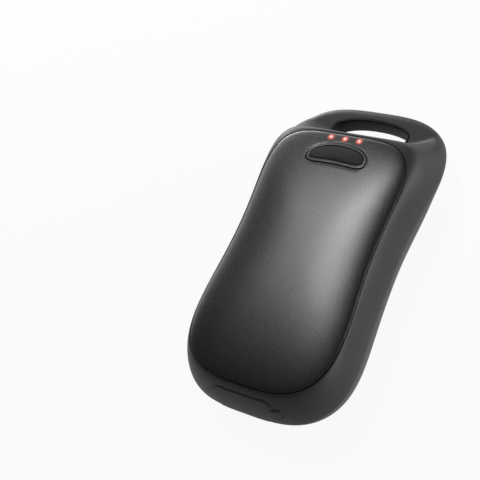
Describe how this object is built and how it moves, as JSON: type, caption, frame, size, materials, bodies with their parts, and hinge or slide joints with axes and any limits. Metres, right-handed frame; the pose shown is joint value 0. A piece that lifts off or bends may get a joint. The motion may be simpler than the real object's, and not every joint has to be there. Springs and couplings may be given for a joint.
{
  "type": "rechargeable hand warmer",
  "caption": "Pocket hand warmer: waisted rubber-covered body with a carrying loop, warm metal panels, a kidney button, indicator lights and a hinged rubber port cover.",
  "frame": {"origin": "under the middle of the body, on the flat of the rear panel that it rests on", "axes": "+Z out of the front panel, +Y toward the carrying loop, +X to the right seen from the front"},
  "size_m": [0.0684, 0.128, 0.03],
  "materials": {
    "soft_rubber": "satin soft-touch",
    "frame_plastic": "matte",
    "holder_plastic": "matte",
    "carrier_plastic": "matte",
    "panel_metal": "sand-blasted and anodised",
    "bezel_metal": "anodised",
    "silicone": "satin",
    "heating_film": "satin film",
    "felt": "matte",
    "button_plastic": "satin",
    "clear_guide": "clear",
    "lamp": "lit",
    "circuit_board": "solder mask",
    "black_plastic": "matte",
    "white_plastic": "matte",
    "cell_sleeve": "shrink sleeve over a steel can",
    "bright_metal": "bright",
    "ferrite": "matte",
    "red_wire": "satin",
    "white_wire": "satin",
    "black_wire": "satin"
  },
  "bodies": {
    "housing": {"outer_cover": "soft_rubber", "core_frame": "frame_plastic", "hole_ring": "frame_plastic", "front_panel": "panel_metal", "rear_panel": "panel_metal", "front_seal": "silicone", "rear_seal": "silicone", "front_carrier": "carrier_plastic", "rear_carrier": "carrier_plastic", "front_heater": "heating_film", "rear_heater": "heating_film", "front_insulation": "felt", "rear_insulation": "felt", "button_bezel": "bezel_metal", "bezel_gasket": "silicone", "light_guide": "clear_guide", "indicator_lights": "lamp", "button_board": "circuit_board", "switch_body": "black_plastic", "left_cell": "cell_sleeve", "right_cell": "cell_sleeve", "battery_holder": "holder_plastic", "cell_strips": "bright_metal", "main_board": "circuit_board", "board_chips": "black_plastic", "power_inductor": "ferrite", "usb_a_shell": "bright_metal", "usb_a_tongue": "black_plastic", "usb_c_shell": "bright_metal", "usb_c_tongue": "black_plastic", "cover_anchor": "soft_rubber", "ribbon_cable": "heating_film", "battery_leads": "red_wire", "heater_leads": "white_wire", "thermistors": "black_wire", "screws": "bright_metal"},
    "button": {"power_button": "button_plastic", "switch_plunger": "white_plastic"},
    "flap": {"port_cover": "soft_rubber"}
  },
  "joints": [
    {"name": "button_press", "type": "slide", "parent": "housing", "child": "button", "axis": [0, 0, -1], "range_m": [0, 0.0005], "stiffness_N_per_m": 2000, "springref_m": -0.0002},
    {"name": "port_cover_swing", "type": "hinge", "parent": "housing", "child": "flap", "pos_m": [-0.0121, -0.06351, 0.0196], "axis": [0, 0, -1], "range_deg": [0, 105]}
  ]
}
